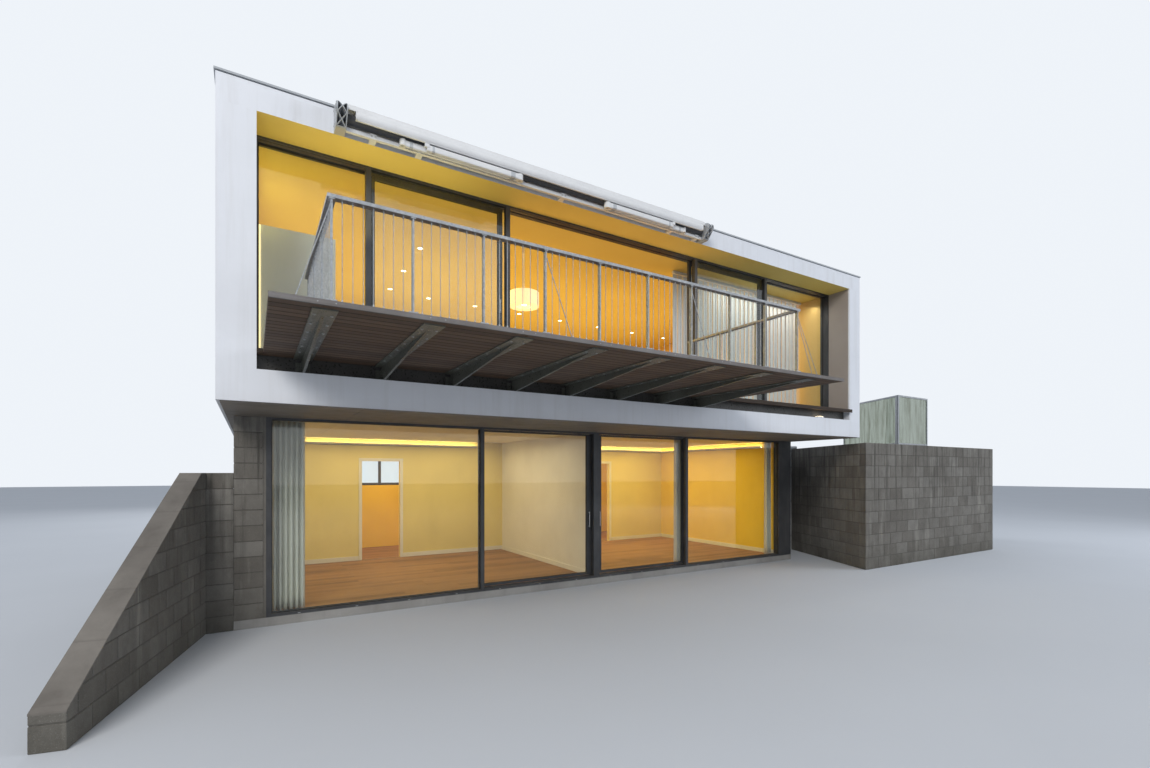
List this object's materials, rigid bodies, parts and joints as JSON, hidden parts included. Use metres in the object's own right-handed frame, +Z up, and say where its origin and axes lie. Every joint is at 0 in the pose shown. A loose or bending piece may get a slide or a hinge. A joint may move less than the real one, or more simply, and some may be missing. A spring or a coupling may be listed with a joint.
{
  "type": "two-storey beach house",
  "caption": "Two-storey beach house: white box upper storey on a glazed lower storey, with a cantilevered balcony, folded awning and block terrace.",
  "frame": {"origin": "centre of the ground floor slab's underside, on the ground", "axes": "+X to the right along the front, +Y from the front into the house, +Z up"},
  "size_m": [18.691, 9.614, 5.79],
  "materials": {
    "white_render": "smooth white painted render",
    "concrete_block": "fair-faced concrete blocks with flush joints",
    "concrete": "trowelled concrete",
    "charcoal_aluminium": "dark charcoal powder coat",
    "window_glass": "clear window glass",
    "screen_glass": "weathered clear glass",
    "satin_steel": "satin steel",
    "galvanised_steel": "galvanised steel",
    "outrigger_steel": "grey-green paint",
    "soffit_lining": "painted sheet lining",
    "floor_timber": "oiled timber boards",
    "deck_timber": "weathered hardwood boards",
    "painted_lining": "painted wall lining",
    "roof_finish": "grey roof membrane",
    "capping_metal": "folded metal capping",
    "blind_fabric": "white vertical blind slats",
    "curtain_cloth": "pale woven curtain cloth",
    "lamp_shade": "warm lit fabric drum",
    "awning_fabric": "dark rolled canvas",
    "awning_enamel": "white enamel",
    "cast_aluminium": "cast aluminium",
    "white_pipe": "white plastic pipe"
  },
  "bodies": {
    "house": {"ground_floor_slab": "concrete", "lower_left_wall": "concrete_block", "lower_right_wall": "concrete_block", "lower_right_end_panel": "charcoal_aluminium", "lower_rear_wall": "concrete_block", "bedroom_partitions": "painted_lining", "lower_window_frame": "charcoal_aluminium", "lower_fixed_glass": "window_glass", "overhang_lining": "soffit_lining", "upper_floor_slab": "white_render", "upper_timber_floor": "floor_timber", "upper_left_wall": "white_render", "upper_right_wall": "white_render", "upper_rear_wall": "white_render", "rear_window_frames": "charcoal_aluminium", "rear_window_glass": "window_glass", "bedroom_curtain_tracks": "white_pipe", "bedroom_curtains": "curtain_cloth", "roof_slab": "white_render", "roof_membrane": "roof_finish", "roof_parapet": "white_render", "roof_capping": "capping_metal", "upper_window_frame": "charcoal_aluminium", "upper_door_leaves": "charcoal_aluminium", "upper_glass": "window_glass", "upper_low_partition": "painted_lining", "upper_blinds": "blind_fabric", "pendant_lamp": "lamp_shade", "balcony_deck": "deck_timber", "balcony_edge_board": "deck_timber", "balcony_strip": "deck_timber", "balcony_outriggers": "outrigger_steel", "balcony_bearers": "outrigger_steel", "front_balustrade": "galvanised_steel", "left_balustrade": "galvanised_steel", "right_balustrade": "galvanised_steel", "awning_end_brackets": "cast_aluminium", "awning_torsion_bar": "awning_enamel", "awning_roller": "awning_fabric", "awning_hood": "awning_enamel", "awning_front_bar": "awning_enamel", "awning_arms": "awning_enamel", "terrace_front_wall": "concrete_block", "terrace_left_wall": "concrete_block", "terrace_rear_walls": "concrete_block", "terrace_slab": "concrete", "terrace_link_wall": "concrete_block", "terrace_screen_frame": "galvanised_steel", "terrace_screen_glass": "screen_glass", "left_wing_wall": "concrete_block", "downpipe": "white_pipe"},
    "left_door": {"left_door_frame": "charcoal_aluminium", "left_door_glass": "window_glass", "left_door_handle": "satin_steel"},
    "right_door": {"right_door_frame": "charcoal_aluminium", "right_door_glass": "window_glass", "right_door_handle": "satin_steel"}
  },
  "joints": [
    {"name": "left_door_slide", "type": "slide", "parent": "house", "child": "left_door", "axis": [-1, 0, 0], "range_m": [0, 1.9]},
    {"name": "right_door_slide", "type": "slide", "parent": "house", "child": "right_door", "axis": [1, 0, 0], "range_m": [0, 1.9]}
  ]
}
